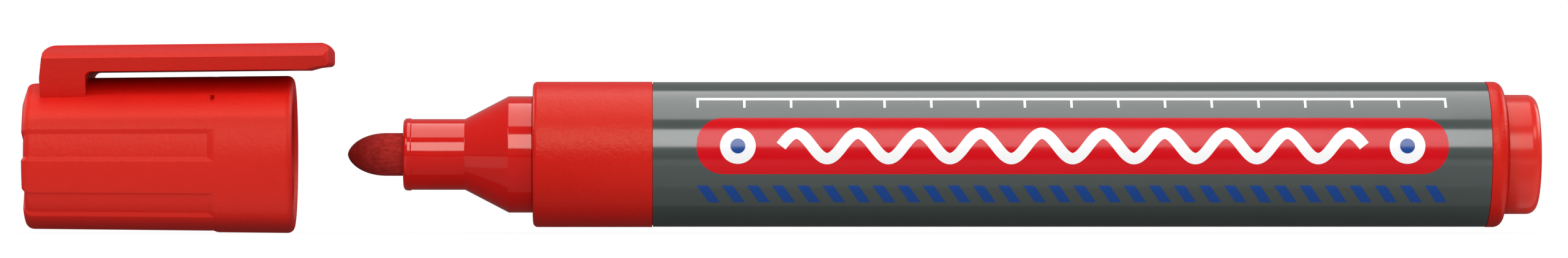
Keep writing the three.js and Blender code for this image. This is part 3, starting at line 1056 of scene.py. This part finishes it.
@dataclass
class Label:
    """The film wrapped round the barrel and the plain print on it.

    The print is three stripes along the label: a graduated line, a band with a wave between two rings,
    and a row of slanted bars.
    """

    rear: float = 5.56
    front: float = 94.84
    radius: float = 7.77
    thickness: float = 0.15
    seam: float = 0.3
    steps: int = 240
    ink: float = 0.012
    ink_sink_share: float = 1 / 3
    ink_inset: float = 1.0
    ink_segments: int = 256
    stamp_front: float = 10.0
    stamp_back: float = 1.0
    stripe: Point = (10.2, 90.2)
    band_top: float = 3.9
    band_bottom: float = -2.1
    band_round: float = 2.8
    ring_inset: float = 4.4
    ring_radius: float = 1.9
    ring_steps: int = 48
    dot_radius: float = 0.8
    dot_steps: int = 24
    wave_inset: float = 9.0
    wave_swing: float = 1.35
    wave_width: float = 1.2
    wave_turns: float = 9.5
    wave_steps: int = 40
    hatch_top: float = -3.3
    hatch_bottom: float = -5.1
    hatch_count: int = 30
    hatch_width: float = 1.2
    hatch_slant: float = 1.3
    rule_height: float = 5.9
    rule_width: float = 0.26
    tick_length: float = 0.8
    tick_count: int = 17

    @property
    def band_middle(self) -> float:
        """Height of the middle of the band."""
        return (self.band_top + self.band_bottom) / 2

    def film(self) -> bpy.types.Object:
        """Spins the film's section round the axis and leaves the seam open at the back.

        Returns:
            The film.
        """
        middle = (x_at((self.rear + self.front) / 2), (self.radius - self.thickness / 2) * MM, 0.0)
        gap = self.seam / self.radius
        start_clean()
        bpy.ops.mesh.primitive_plane_add(size=MM, location=middle)
        bpy.context.object.scale = (self.front - self.rear, self.thickness, 1.0)
        piece = settle("label_film")
        edit_all()
        turn_about_axis(-gap / 2)
        bpy.ops.mesh.spin(steps=self.steps, angle=math.tau - gap, center=ORIGIN, axis=X_AXIS)
        return smooth(piece)

    def ink_layer(self, name: str, layer: int) -> bpy.types.Object:
        """Turns the thin sleeve that a print is cut from.

        Args:
            name: The name of the print.
            layer: Which layer of ink it is, from 1.

        Returns:
            The sleeve, a little sunk into what it lies on.
        """
        inner = self.radius + self.ink * (layer - 1 - self.ink_sink_share)
        outer = self.radius + self.ink * layer
        rear = self.rear + self.ink_inset
        front = self.front - self.ink_inset
        return Turned(name, self.ink_segments,
                      [(rear, inner), (rear, outer), (front, outer), (front, inner)]).done()

    def stamp(self, name: str, layer: int, outlines: Sequence[Sequence[Point]]) -> bpy.types.Object:
        """Cuts a print out of its ink layer, seen square from the front.

        Args:
            name: The name of the print.
            layer: Which layer of ink it is, from 1.
            outlines: Outlines of station and height, each a part of the print.

        Returns:
            The print.
        """
        through = (0.0, (self.stamp_front - self.stamp_back) * MM, 0.0)
        tools = []
        for outline in outlines:
            corners = [Vector((x_at(station), -self.stamp_front * MM, height * MM))
                       for station, height in outline]
            tools.append(prism("stamp", corners, through))
        make_active(tools[0])
        if len(tools) > 1:
            for tool in tools:
                tool.select_set(True)
            bpy.ops.object.join()
        piece = self.ink_layer(name, layer)
        combine(piece, tools[0], Cut.KEEP_SHARED)
        return smooth(piece)

    def band(self) -> list[Point]:
        """Outline of the band, with rounded corners.

        Returns:
            The outline.
        """
        size = self.band_round
        rear = self.stripe[0] + size
        front = self.stripe[1] - size
        top = self.band_top - size
        bottom = self.band_bottom + size
        centres = [(front, top), (rear, top), (rear, bottom), (front, bottom)]
        return [point for i, centre in enumerate(centres)
                for point in arc(size, centre, 90 * i, 90 * (i + 1), Steps.CORNER)]

    def wave(self) -> list[Point]:
        """Outline of a wavy stroke along the middle of the band.

        Returns:
            The outline.
        """
        rear = self.stripe[0] + self.wave_inset
        length = self.stripe[1] - self.wave_inset - rear
        steps = int(self.wave_steps * self.wave_turns)
        spine = []
        for i in range(steps + 1):
            phase = math.tau * self.wave_turns * i / steps
            spine.append((rear + length * i / steps, self.band_middle + self.wave_swing * math.sin(phase)))
        upper = []
        lower = []
        for i, (station, height) in enumerate(spine):
            before = spine[max(i - 1, 0)]
            after = spine[min(i + 1, steps)]
            run = (after[0] - before[0], after[1] - before[1])
            half = self.wave_width / 2 / math.hypot(*run)
            upper.append((station - run[1] * half, height + run[0] * half))
            lower.append((station + run[1] * half, height - run[0] * half))
        return [*upper, *reversed(lower)]

    def hatching(self) -> list[list[Point]]:
        """Outlines of a long row of short slanted bars.

        Returns:
            The outlines.
        """
        rear, front = self.stripe
        room = front - rear - self.hatch_slant - self.hatch_width
        bars = []
        for i in range(self.hatch_count):
            foot = rear + room * i / (self.hatch_count - 1)
            bars.append([
                (foot, self.hatch_bottom),
                (foot + self.hatch_width, self.hatch_bottom),
                (foot + self.hatch_width + self.hatch_slant, self.hatch_top),
                (foot + self.hatch_slant, self.hatch_top),
            ])
        return bars

    def ruler(self) -> list[Point]:
        """Outline of a thin line and the ticks that hang from it.

        Returns:
            The outline.
        """
        rear, front = self.stripe
        upper = self.rule_height + self.rule_width / 2
        lower = self.rule_height - self.rule_width / 2
        foot = lower - self.tick_length
        outline = [(rear, upper), (rear, foot), (rear + self.rule_width, foot)]
        pitch = (front - rear - self.rule_width) / (self.tick_count - 1)
        for i in range(1, self.tick_count):
            tick = rear + pitch * i
            outline.extend([
                (tick - pitch + self.rule_width, lower),
                (tick, lower),
                (tick, foot),
                (tick + self.rule_width, foot),
            ])
        outline.append((front, upper))
        return outline

    def build(self, dresser: Dresser) -> None:
        """Builds and dresses the film and its print.

        Args:
            dresser: Paints the pieces and hangs them on their body.
        """
        dresser.hand_over(self.film(), GREY_FILM, Body.MARKER, "label")
        centres = [(self.stripe[0] + self.ring_inset, self.band_middle),
                   (self.stripe[1] - self.ring_inset, self.band_middle)]
        rings = [circle(self.ring_radius, centre, self.ring_steps) for centre in centres]
        dots = [circle(self.dot_radius, centre, self.dot_steps) for centre in centres]
        prints = [
            ("print_band", 1, [self.band()], RED_INK),
            ("print_hatching", 1, self.hatching(), BLUE_INK),
            ("print_rule", 1, [self.ruler()], WHITE_INK),
            ("print_wave", 2, [self.wave()], WHITE_INK),
            ("print_rings", 2, rings, WHITE_INK),
            ("print_dots", 3, dots, BLUE_INK),
        ]
        for name, layer, outlines, finish in prints:
            dresser.hand_over(self.stamp(name, layer, outlines), finish, Body.MARKER)


@dataclass
class Cap:
    """The cap moulding with its clip and panels, and the liner in it."""

    mouth: float = 133.3
    length: float = 28.8
    mouth_radius: float = 8.44
    end_radius: float = 8.15
    bore: float = 6.55
    bore_skin: float = 0.2
    lead_in: float = 0.35
    lead_in_round: float = 0.08
    end_wall: float = 1.4
    mouth_round: float = 0.75
    end_round: float = 1.0
    inner_round: float = 0.8
    band: float = 8.3
    panel_count: int = 5
    panel_pitch: float = 48.5
    panel_angle: float = 24.0
    panel_depth: float = 0.27
    ramp_steps: int = 6
    end_ramp: float = 0.7
    on_end_face: float = 2.4
    end_face_ramp: float = 0.3
    play: float = 0.01
    columns: int = 720
    witness_height: float = 0.02
    witness_edge: float = 0.14
    witness_ramp: float = 0.04
    mark_angle: float = 43.75
    mark_size: Place = (0.42, 0.95, 1.3)
    clip_width: float = 16.8
    clip_gap: float = 0.62
    clip_thickness: float = 2.9
    clip_round: float = 0.1
    clip_round_over: float = 18.0
    crown_drop: float = 0.97
    crown_steps: int = 32
    edge_width: float = 0.5
    edge_drop: float = 0.53
    flank_lean: float = 35.0
    overhang: float = 4.0
    root_length: float = 4.9
    root_inset: float = 1.9
    root_lean: float = 0.4
    root_corner: float = 1.1
    tip_corner: float = 1.2
    tip_plan_corner: float = 1.1
    tip_foot: float = 0.5
    slot_round: float = 0.65
    nose_length: float = 2.5
    nose_ramp: float = 1.1
    nose_lift: float = 0.3
    nose_rise: float = 0.1
    core_segments: int = 192
    seat_drop: float = 0.55
    seat_length: float = 1.45
    seat_slope: float = 0.42
    seat_slope_top: float = 6.95
    seat_slope_foot: float = 5.1
    seat_steps: int = 8
    liner_front: float = 8.1
    liner_bore: float = 4.08
    liner_outer: float = 5.18
    liner_flange_radius: float = 6.4
    liner_flange: float = 1.2
    liner_flange_round: float = 0.15
    liner_mouth: float = 0.4
    liner_mouth_round: float = 0.12
    partition_front: float = 22.44
    partition: float = 1.2
    liner_rear: float = 27.2
    liner_segments: int = 128
    overrun: float = 1.0
    sharp_over: float = 21.0

    @property
    def wall_middle(self) -> float:
        """Radius of the middle of the wall, where the clip's foot ends."""
        return (self.bore + self.end_radius) / 2

    @property
    def crest(self) -> float:
        """Height of the clip's crest at the closed end."""
        return self.clip_top(self.length)

    @property
    def crease(self) -> float:
        """Height of the crease between the clip's edge and its flank at the closed end."""
        return self.crest - self.crown_drop - self.edge_drop

    def station(self, along: float) -> float:
        """Station of a distance from the mouth."""
        return self.mouth + along

    def radius_at(self, along: float) -> float:
        """Outer radius at a distance from the mouth."""
        return self.mouth_radius + (self.end_radius - self.mouth_radius) * along / self.length

    def under_clip(self, along: float) -> float:
        """Height of the clip's underside at a distance from the mouth."""
        return self.radius_at(max(along, 0.0)) + self.clip_gap

    def clip_top(self, along: float) -> float:
        """Height of the clip's crest at a distance from the mouth."""
        return self.radius_at(along) + self.clip_gap + self.clip_thickness

    def cup(self) -> bpy.types.Object:
        """Turns the cup on a fine grid and sinks the grip panels into it.

        A fine step runs round the cup where the plain band at its mouth ends.

        Returns:
            The cup.
        """
        inner_end = self.length - self.end_wall
        step = self.band - self.witness_edge
        step_foot = step + self.witness_ramp
        panel_end = self.end_radius - self.end_round - self.on_end_face
        shares = [i / self.ramp_steps for i in range(self.ramp_steps + 1)]
        ramp = [(self.band + self.end_ramp * share, self.witness_height * (1 - share)) for share in shares]
        form = Turned("cap_moulding", self.columns, [(self.station(a), r) for a, r in [
            (inner_end, self.bore),
            (self.lead_in, self.bore),
            (0.0, self.bore + self.lead_in),
            (0.0, self.mouth_radius),
            (step, self.radius_at(step)),
            (step_foot, self.radius_at(step_foot) - self.witness_height),
            *((a, self.radius_at(a) - sunk) for a, sunk in ramp),
            (self.length, self.end_radius),
            *((self.length, panel_end + self.end_face_ramp * (1 - share)) for share in shares),
            (self.length, 0.0),
        ]])
        form.round_over(self.station(inner_end), self.bore, self.inner_round, Steps.CORNER)
        form.round_over(self.station(0.0), self.mouth_radius, self.mouth_round, Steps.CORNER)
        form.round_over(self.station(0.0), self.bore + self.lead_in, self.lead_in_round, Steps.HAIRLINE)
        form.round_over(self.station(self.length), self.end_radius, self.end_round, Steps.BROAD)
        self.sink_panels(form, panel_end)
        return form.done()

    def sink_panels(self, form: Turned, panel_end: float) -> None:
        """Sinks the grip panels step by step, so that their sides slope.

        Args:
            form: The cup, in edit mode.
            panel_end: Radius on the end face at which the panels end.
        """
        first = 180 - self.panel_pitch * (self.panel_count - 1) / 2
        centres = [first + self.panel_pitch * i for i in range(self.panel_count)]
        column = 360 / self.columns
        for step in range(1, self.ramp_steps + 1):
            share = step / self.ramp_steps
            start = self.band + self.end_ramp * share - self.play
            inside = panel_end + self.end_face_ramp * share - self.play
            half = self.panel_angle / 2 - column * step + column / 4

            def in_panel(place: Vector) -> bool:
                """Whether a place lies in a panel at this step."""
                along = -place.x / MM - self.mouth
                radius = math.hypot(place.y, place.z) / MM
                in_bore = along < self.length - self.end_wall / 2 and radius < self.bore + self.bore_skin
                if along < start or radius < inside or in_bore:
                    return False
                angle = math.degrees(math.atan2(-place.y, place.z)) % 360
                return any(abs(angle - centre) <= half for centre in centres)

            select(form.piece, Pick.VERTS, in_panel)
            bpy.ops.transform.shrink_fatten(value=-self.panel_depth * MM / self.ramp_steps)

    def across(self, name: str, outline: Sequence[Point], width: float) -> bpy.types.Object:
        """Solid of one width from an outline of distance from the mouth and height.

        Args:
            name: The name of the solid.
            outline: The outline.
            width: Its width, centred on the clip's plane.

        Returns:
            The solid.
        """
        corners = [Vector((x_at(self.station(a)), -width / 2 * MM, h * MM)) for a, h in outline]
        return prism(name, corners, (0.0, width * MM, 0.0))

    def seat(self) -> bpy.types.Object:
        """Tool that flattens the cap's end edge beside the clip's root and rounds it over.

        Returns:
            The tool.
        """
        top = self.end_radius - self.seat_drop
        start = self.length - self.root_inset - self.root_lean
        flat_end = self.length - self.seat_length
        slope_start = self.length - self.seat_slope
        outline = [(start, top)]
        for i in range(self.seat_steps + 1):
            share = i / self.seat_steps
            outline.append((flat_end + (slope_start - flat_end) * share * (2 - share),
                            top - (top - self.seat_slope_top) * share ** 2))
        outline.extend([
            (self.length, self.seat_slope_foot),
            (self.length + self.overrun, self.seat_slope_foot - self.overrun),
            (self.length + self.overrun, self.end_radius + self.overrun),
            (start, self.end_radius + self.overrun),
        ])
        return self.across("clip_seat", outline, 2 * self.end_radius)

    def flank_height_at(self, radius: float) -> float:
        """Height at which the clip's flank, carried down, reaches a radius about the axis."""
        lean = math.tan(math.radians(self.flank_lean))
        reach = self.clip_width / 2 - lean * self.crease
        square = 1 + lean ** 2
        root = math.sqrt((lean * reach) ** 2 - square * (reach ** 2 - radius ** 2))
        return (root - lean * reach) / square

    def clip_section(self, foot: float) -> bpy.types.Object:
        """The clip's section carried along the cap: crown, edges and leaning flanks.

        Args:
            foot: Height of the section's lower side.

        Returns:
            The solid that the clip is cut to.
        """
        half = self.clip_width / 2
        half_crown = half - self.edge_width
        crown = (half_crown ** 2 + self.crown_drop ** 2) / (2 * self.crown_drop)
        angle = math.degrees(math.asin(half_crown / crown))
        foot_half = half - math.tan(math.radians(self.flank_lean)) * (self.crease - foot)
        section = [
            (foot_half, foot),
            (half, self.crease),
            *arc(crown, (0.0, self.crest - crown), 90 - angle, 90 + angle, self.crown_steps),
            (-half, self.crease),
            (-foot_half, foot),
        ]
        rise = (self.mouth_radius - self.end_radius) / self.length
        start = x_at(self.station(self.length + self.overrun))
        run = (self.overhang + self.length + 2 * self.overrun) * MM
        corners = [Vector((start, w * MM, (h - rise * self.overrun) * MM)) for w, h in section]
        return prism("clip_section", corners, (run, 0.0, rise * run))

    def clip_plan(self) -> bpy.types.Object:
        """The clip's outline seen from above, which rounds the two corners of its tip.

        Returns:
            The solid that the clip is cut to.
        """
        size = self.tip_plan_corner
        side = self.clip_width / 2
        rear = self.length + self.overrun
        tip = size - self.overhang
        plan = [
            (rear, -side - self.overrun),
            (tip, -side - self.overrun),
            *arc(size, (tip, size - side), 270, 180, Steps.CORNER),
            *arc(size, (tip, side - size), 180, 90, Steps.CORNER),
            (tip, side + self.overrun),
            (rear, side + self.overrun),
        ]
        corners = [Vector((x_at(self.station(a)), w * MM, 0.0)) for a, w in plan]
        return prism("clip_plan", corners, (0.0, 0.0, 2 * self.end_radius * MM))

    def clip_side(self, foot: float) -> bpy.types.Object:
        """The clip's outline seen from the side: root, slot, lifted nose and rounded tip.

        Args:
            foot: Height of the lower side of the clip's section.

        Returns:
            The solid, wider than the clip.
        """
        root_end = self.length - self.root_inset
        root_top = root_end - self.root_lean
        root_corner = (root_top - self.root_corner, self.clip_top(root_top) - self.root_corner)
        slot_end = root_end - self.root_length
        slot_corner = (slot_end - self.slot_round, self.under_clip(slot_end) - self.slot_round)
        nose_start = self.nose_length - self.overhang
        nose_under = self.under_clip(0.0) + self.nose_lift
        tip = self.tip_corner - self.overhang
        tip_under = nose_under + self.nose_rise
        above = self.clip_top(0.0) + self.overrun
        outline = [
            (root_end, foot - self.overrun),
            (root_end, self.end_radius),
            (root_top, root_corner[1]),
            *arc(self.root_corner, root_corner, 0, 90, Steps.BROAD)[1:],
            (root_corner[0], above),
            (tip, above),
            *arc(self.tip_corner, (tip, self.clip_top(tip) - self.tip_corner), 90, 180, Steps.BROAD),
            *arc(self.tip_foot, (self.tip_foot - self.overhang, tip_under + self.tip_foot),
                 180, 270, Steps.SHORT),
            (nose_start - self.nose_ramp, nose_under),
            (nose_start, self.under_clip(0.0)),
            (0.0, self.under_clip(0.0)),
            *arc(self.slot_round, slot_corner, 90, 0, Steps.CORNER),
            (slot_end, foot - self.overrun),
        ]
        return self.across("clip", outline, self.clip_width + 2 * self.overrun)

    def clip(self) -> bpy.types.Object:
        """The clip: its side cut to its section and its plan, with its foot in the cap's wall.

        Returns:
            The clip.
        """
        foot = self.flank_height_at(self.wall_middle)
        piece = self.clip_side(foot)
        combine(piece, self.clip_section(foot), Cut.KEEP_SHARED)
        combine(piece, self.clip_plan(), Cut.KEEP_SHARED)
        start_clean()
        bpy.ops.mesh.primitive_cylinder_add(
            vertices=self.core_segments, radius=self.wall_middle * MM,
            depth=(self.length + 4 * self.overrun) * MM,
            location=(x_at(self.station(self.length / 2)), 0.0, 0.0), rotation=ALONG_X)
        combine(piece, settle("clip_core"), Cut.REMOVE)
        apply_modifier(piece, "BEVEL", width=self.clip_round * MM, segments=Steps.SMALL.value,
                       limit_method="ANGLE", angle_limit=math.radians(self.clip_round_over),
                       harden_normals=False)
        return piece

    def mark(self) -> bpy.types.Object:
        """Tool that cuts the small moulded mark beside the clip.

        Returns:
            The tool.
        """
        middle = self.station(self.band + self.mark_size[0] / 2)
        return block("cap_mark", middle, self.radius_at(self.band), self.mark_size,
                     -math.radians(self.mark_angle))

    def moulding(self) -> bpy.types.Object:
        """The whole cap moulding: cup, seat, clip and mark.

        Returns:
            The cap.
        """
        piece = self.cup()
        combine(piece, self.seat(), Cut.REMOVE)
        combine(piece, self.clip(), Cut.JOIN)
        combine(piece, self.mark(), Cut.REMOVE)
        return smooth(piece, self.sharp_over)

    def liner(self) -> bpy.types.Object:
        """Turns the liner: flange and sleeve, closed by a partition behind the nib's tip.

        Returns:
            The liner.
        """
        front = self.liner_front
        mouth = self.liner_bore + self.liner_mouth
        partition_rear = self.partition_front + self.partition
        form = Turned("cap_inner", self.liner_segments, [(self.station(a), r) for a, r in [
            (self.partition_front, self.liner_bore),
            (front + self.liner_mouth, self.liner_bore),
            (front, mouth),
            (front, self.liner_flange_radius),
            (front + self.liner_flange, self.liner_flange_radius),
            (front + self.liner_flange, self.liner_outer),
            (self.liner_rear, self.liner_outer),
            (self.liner_rear, self.liner_bore),
            (partition_rear, self.liner_bore),
            (partition_rear, 0.0),
        ]])
        form.round_over(self.station(front), self.liner_flange_radius, self.liner_flange_round,
                        Steps.SMALL)
        form.round_over(self.station(front), mouth, self.liner_mouth_round, Steps.SMALL)
        return form.done()

    def build(self, dresser: Dresser) -> None:
        """Builds and dresses the cap moulding and its liner.

        Args:
            dresser: Paints the pieces and hangs them on their body.
        """
        dresser.hand_over(self.moulding(), RED_CAP, Body.CAP, "cap_shell")
        dresser.hand_over(self.liner(), LINER_WHITE, Body.CAP, "cap_liner")


def hang_lamp(name: str, size: Point, brightness: float, place: Sequence[float], turn: Place,
              spread: float = 180.0) -> None:
    """Hangs a rectangular lamp that the camera doesn't see.

    Args:
        name: The lamp's name.
        size: Its length and width in metres.
        brightness: How bright its surface is.
        place: Where its middle hangs.
        turn: How it is turned.
        spread: Angle in degrees within which it shines.
    """
    length, width = size
    lamp = bpy.data.lights.new(name, "AREA")
    lamp.shape = "RECTANGLE"
    lamp.size = length
    lamp.size_y = width
    lamp.energy = brightness * math.pi * length * width
    lamp.spread = math.radians(spread)
    holder = bpy.data.objects.new(name, lamp)
    holder.location = place
    holder.rotation_euler = turn
    holder.visible_camera = False
    bpy.context.scene.collection.objects.link(holder)
    LOG.info("lamp %s: %.3f x %.3f m", name, length, width)


@dataclass(frozen=True)
class Softbox:
    """A soft lamp seen from its target at an azimuth from the front and an elevation."""

    name: str
    azimuth: float
    elevation: float
    size: Point
    brightness: float
    distance: float = 1.0
    spread: float = 180.0
    target: Place = (-0.05, 0.0, 0.0)

    def build(self) -> None:
        """Hangs the lamp so that it faces its target."""
        turn = math.radians(self.azimuth)
        rise = math.radians(self.elevation)
        away = Vector((math.sin(turn) * math.cos(rise), -math.cos(turn) * math.cos(rise), math.sin(rise)))
        hang_lamp(self.name, self.size, self.brightness, Vector(self.target) + away * self.distance,
                  (math.pi / 2 - rise, 0.0, turn), self.spread)


@dataclass(frozen=True)
class Card:
    """A pale card on the floor in front of the marker, which lightens the marker's lower side."""

    name: str
    rear: float
    front: float
    brightness: float
    left: float = -0.101
    right: float = 0.22

    def build(self, height: float) -> None:
        """Lays the card, facing up.

        Args:
            height: Height of the card in metres.
        """
        place = ((self.left + self.right) / 2, (self.rear + self.front) / 2, height)
        hang_lamp(self.name, (self.right - self.left, self.rear - self.front), self.brightness, place,
                  (math.pi, 0.0, 0.0))


@dataclass
class Studio:
    """White surroundings, pale floor, softboxes, cards and camera."""

    ambient: float = 0.2
    gloss_share: float = 0.29
    floor_height: float = -0.00846
    floor_middle: float = -0.08
    floor_size: float = 1.2
    floor_tone: float = 0.98
    floor_gloss: float = 0.05
    floor_bounce: float = 0.32
    shadow_share: float = 0.06
    card_lift: float = 0.0001
    softboxes: tuple[Softbox, ...] = (
        Softbox("strip_above", azimuth=0, elevation=89.3, size=(0.40, 1.24), brightness=3.05),
        Softbox("strip_front", azimuth=0, elevation=26, size=(0.40, 0.50), brightness=6.0),
        Softbox("key_left", azimuth=-40, elevation=37, size=(0.5, 0.32), brightness=3.7),
        Softbox("key_right", azimuth=48, elevation=37, size=(0.5, 0.32), brightness=4.0),
        Softbox("rear_left", azimuth=-112, elevation=27, size=(0.8, 0.4), brightness=3.2),
        Softbox("rear_right", azimuth=112, elevation=27, size=(0.8, 0.4), brightness=3.2),
        Softbox("strip_under_clip", azimuth=0, elevation=48, size=(0.028, 0.0034), brightness=0.27,
                distance=0.018, spread=4.0, target=(-0.1477, -0.00635, 0.00552)),
    )
    cards: tuple[Card, ...] = (
        Card("card_close", rear=-0.0055, front=-0.0105, brightness=0.20),
        Card("card_near", rear=-0.0105, front=-0.030, brightness=0.39),
        Card("card_far", rear=-0.030, front=-0.066, brightness=0.62),
        Card("card_front_end", rear=-0.0055, front=-0.090, brightness=0.20, left=-0.126, right=-0.101),
        Card("card_cap", rear=-0.0055, front=-0.080, brightness=0.56, left=-0.32, right=-0.126),
        Card("card_plug", rear=-0.001, front=-0.040, brightness=0.55, left=-0.002, right=0.040),
    )
    picture: ClassVar[tuple[int, int]] = (2560, 421)
    pixels_per_mm: float = 15.2
    eye: Place = (-0.0949, -0.770, 0.0)
    axis_pixel: Point = (1065.0, 252.0)
    sensor: float = 36.0
    nearest: float = 0.05
    farthest: float = 20.0

    def ray_strength(self, sheet: NodeSheet, gloss: float, matt: float) -> bpy.types.NodeSocket:
        """Strength of the white surroundings for each kind of ray: 1 for the camera.

        Args:
            sheet: The sheet of the world or the floor.
            gloss: Strength that glossy surfaces see.
            matt: Strength that lights matt surfaces.

        Returns:
            The strength.
        """
        path = sheet.add("ShaderNodeLightPath").outputs
        clear = sheet.maths("MAXIMUM", path["Is Camera Ray"], path["Is Transmission Ray"])
        glossy = sheet.maths("MULTIPLY", path["Is Glossy Ray"], gloss)
        diffuse = sheet.maths("MULTIPLY", path["Is Diffuse Ray"], matt)
        return sheet.maths("MAXIMUM", clear, sheet.maths("MAXIMUM", glossy, diffuse))

    def surroundings(self) -> None:
        """Makes the world: white to the camera, dimmer to the object."""
        world = bpy.data.worlds.new("studio")
        world.use_nodes = True
        sheet = NodeSheet(world.node_tree)
        seen = self.ray_strength(sheet, self.gloss_share, self.ambient)
        background = sheet.add("ShaderNodeBackground", {
            "Color": (1.0, 1.0, 1.0, 1.0), "Strength": sheet.maths("MAXIMUM", seen, self.ambient)})
        sheet.add("ShaderNodeOutputWorld", {"Surface": background.outputs[0]})
        bpy.context.scene.world = world

    def floor(self) -> None:
        """Lays the floor: white to the camera with the marker's faint shadow on it."""
        start_clean()
        bpy.ops.mesh.primitive_plane_add(
            size=self.floor_size, location=(self.floor_middle, 0.0, self.floor_height))
        floor = settle("floor")
        material = bpy.data.materials.new("pale_floor")
        material.use_nodes = True
        material.cycles.emission_sampling = "NONE"
        sheet = NodeSheet(material.node_tree)
        matt = sheet.add("ShaderNodeBsdfDiffuse", {"Color": (*[self.floor_tone] * 3, 1.0)})
        white = sheet.add("ShaderNodeEmission", {
            "Strength": self.ray_strength(sheet, self.floor_gloss, self.floor_bounce)})
        shade = sheet.add("ShaderNodeMixShader", {
            "Fac": 1.0 - self.shadow_share, 1: matt.outputs[0], 2: white.outputs[0]})
        sheet.add("ShaderNodeOutputMaterial", {"Surface": shade.outputs[0]})
        floor.data.materials.append(material)

    def camera(self) -> None:
        """Sets the camera where the photograph was taken from."""
        wide, high = self.picture
        distance = -self.eye[1] / MM
        camera = bpy.data.cameras.new("camera")
        camera.sensor_width = self.sensor
        camera.lens = self.sensor * self.pixels_per_mm * distance / wide
        camera.shift_x = (wide / 2 - self.axis_pixel[0]) / wide
        camera.shift_y = (self.axis_pixel[1] - high / 2) / wide
        camera.clip_start = self.nearest
        camera.clip_end = self.farthest
        holder = bpy.data.objects.new("camera", camera)
        holder.location = self.eye
        holder.rotation_euler = (math.radians(90), 0.0, 0.0)
        bpy.context.scene.collection.objects.link(holder)
        bpy.context.scene.camera = holder

    def build(self) -> None:
        """Builds the studio."""
        bpy.context.scene.view_settings.view_transform = "Standard"
        self.surroundings()
        self.floor()
        for softbox in self.softboxes:
            softbox.build()
        for card in self.cards:
            card.build(self.floor_height + self.card_lift)
        self.camera()


def main() -> None:
    """Builds the marker, its cap and the studio."""
    logging.basicConfig(level=logging.INFO, format="%(name)s: %(message)s")
    dresser = Dresser()
    for assembly in (Barrel(), FrontEnd(), Label(), Cap()):
        assembly.build(dresser)
    Studio().build()
    start_clean()


if __name__ == "__main__":
    main()
